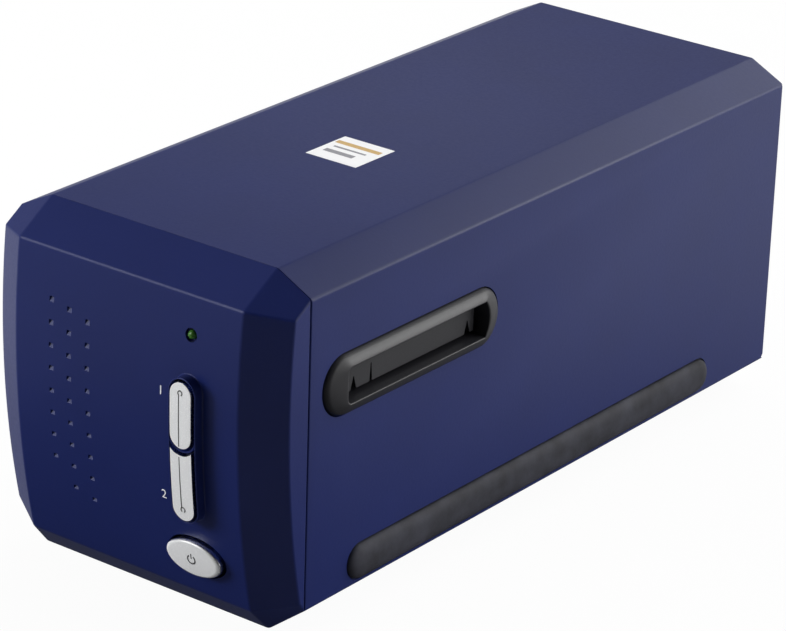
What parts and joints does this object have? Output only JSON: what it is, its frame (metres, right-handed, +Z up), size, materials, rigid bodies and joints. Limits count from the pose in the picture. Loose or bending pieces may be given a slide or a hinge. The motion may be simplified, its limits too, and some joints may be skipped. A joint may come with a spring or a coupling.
{
  "type": "desktop film scanner",
  "caption": "Long eight-sided desktop scanner for 35 mm film, with a bowed front, two rocker keys, an oval power button, side slots behind sprung dust doors and a belt-driven scan carriage.",
  "frame": {"origin": "middle of the whole scanner's box, on the surface that its feet stand on", "axes": "+Z up; the front with its keys faces -Y; the film goes in through the slot on the +X side and comes out on the -X side"},
  "size_m": [0.12, 0.276, 0.1186],
  "materials": {
    "navy_satin_plastic": "satin, fine moulded texture",
    "black_gloss_plastic": "glossy moulding",
    "black_satin_plastic": "satin moulding",
    "black_rubber": "matte rubber",
    "silver_plastic": "silver lacquer",
    "green_lens": "clear tinted lens",
    "steel": "ground and plated",
    "zinc_sheet": "zinc plated sheet",
    "nickel_plate": "nickel plated",
    "brass": "turned",
    "circuit_board": "solder resist",
    "white_plastic": "natural acetal",
    "label_film": "printed film",
    "black_anodised": "black anodised",
    "front_mirror": "front silvered",
    "lens_glass": "coated optical glass"
  },
  "bodies": {
    "root": {"top_cover": "navy_satin_plastic", "base_tray": "navy_satin_plastic", "front_bezel": "navy_satin_plastic", "rear_panel": "navy_satin_plastic", "slot_frame_right": "black_gloss_plastic", "slot_frame_left": "black_gloss_plastic", "door_pin_right": "steel", "door_pin_left": "steel", "side_grip_right": "black_rubber", "side_grip_left": "black_rubber", "status_led": "green_lens", "button_board": "circuit_board", "switch_housings": "black_satin_plastic", "feet": "black_rubber", "top_label": "label_film", "usb_socket": "nickel_plate", "power_inlet": "black_satin_plastic", "main_board": "circuit_board", "board_parts": "black_satin_plastic", "chassis_plate": "zinc_sheet", "film_track": "black_satin_plastic", "detent_pin": "steel", "guide_rod": "steel", "support_rod": "steel", "rod_blocks": "black_satin_plastic", "drive_motor": "zinc_sheet", "motor_bracket": "zinc_sheet", "drive_belt": "black_rubber", "idler_pin": "steel", "home_sensor": "black_satin_plastic", "flat_cable": "label_film", "case_screws": "steel", "chassis_screws": "steel", "board_screws": "steel"},
    "upper_key": {"upper_key": "silver_plastic", "upper_plunger": "white_plastic"},
    "lower_key": {"lower_key": "silver_plastic", "lower_plunger": "white_plastic"},
    "power_button": {"power_button": "silver_plastic", "power_plunger": "white_plastic"},
    "door_right": {"dust_door_right": "black_satin_plastic", "door_spring_right": "steel"},
    "door_left": {"dust_door_left": "black_satin_plastic", "door_spring_left": "steel"},
    "carriage": {"carriage_tub": "black_satin_plastic", "rod_bushes": "brass", "scan_mirror": "front_mirror", "lens_barrel": "black_anodised", "lens_glasses": "lens_glass", "sensor_board": "circuit_board", "line_sensor": "black_satin_plastic", "lamp_arm": "zinc_sheet", "lamp_board": "circuit_board", "lamp_diffuser": "white_plastic", "belt_clamp": "zinc_sheet"},
    "motor_drive": {"motor_pulley": "brass", "motor_shaft": "steel"},
    "idler": {"idler_pulley": "white_plastic"},
    "detent": {"detent_lever": "white_plastic", "detent_spring": "steel"}
  },
  "joints": [
    {"name": "upper_key_press", "type": "slide", "parent": "root", "child": "upper_key", "axis": [0, 1, 0], "range_m": [0, 0.0006], "stiffness_N_per_m": 1500, "springref_m": -0.0004},
    {"name": "lower_key_press", "type": "slide", "parent": "root", "child": "lower_key", "axis": [0, 1, 0], "range_m": [0, 0.0006], "stiffness_N_per_m": 1500, "springref_m": -0.0004},
    {"name": "power_press", "type": "slide", "parent": "root", "child": "power_button", "axis": [0, 1, 0], "range_m": [0, 0.0006], "stiffness_N_per_m": 1500, "springref_m": -0.0004},
    {"name": "right_door_swing", "type": "hinge", "parent": "root", "child": "door_right", "pos_m": [0.0548, -0.0674, 0.08445], "axis": [0, 1, 0], "range_deg": [0, 80], "stiffness_Nm_per_rad": 0.001, "springref_deg": -20.05},
    {"name": "left_door_swing", "type": "hinge", "parent": "root", "child": "door_left", "pos_m": [-0.0548, -0.0674, 0.08445], "axis": [0, 1, 0], "range_deg": [0, 75], "stiffness_Nm_per_rad": 0.001, "springref_deg": -20.05},
    {"name": "carriage_scan", "type": "slide", "parent": "root", "child": "carriage", "axis": [0, 1, 0], "range_m": [-0.015, 0.015], "deforming": ["flat_cable"]},
    {"name": "motor_spin", "type": "hinge", "parent": "root", "child": "motor_drive", "pos_m": [-0.04, 0.102, 0.044], "axis": [1, 0, 0], "range_deg": [-135, 135]},
    {"name": "idler_spin", "type": "hinge", "parent": "root", "child": "idler", "pos_m": [-0.04, -0.088, 0.044], "axis": [1, 0, 0], "range_deg": [-135, 135]},
    {"name": "detent_swing", "type": "hinge", "parent": "root", "child": "detent", "pos_m": [0.016, -0.0294, 0.08], "axis": [0, 0, -1], "range_deg": [0, 4], "stiffness_Nm_per_rad": 0.1, "springref_deg": -5.73}
  ],
  "couplings": [
    {"joint": "motor_spin", "follows": "carriage_scan", "rad_per_m": -150.38},
    {"joint": "idler_spin", "follows": "carriage_scan", "rad_per_m": -150.38}
  ]
}
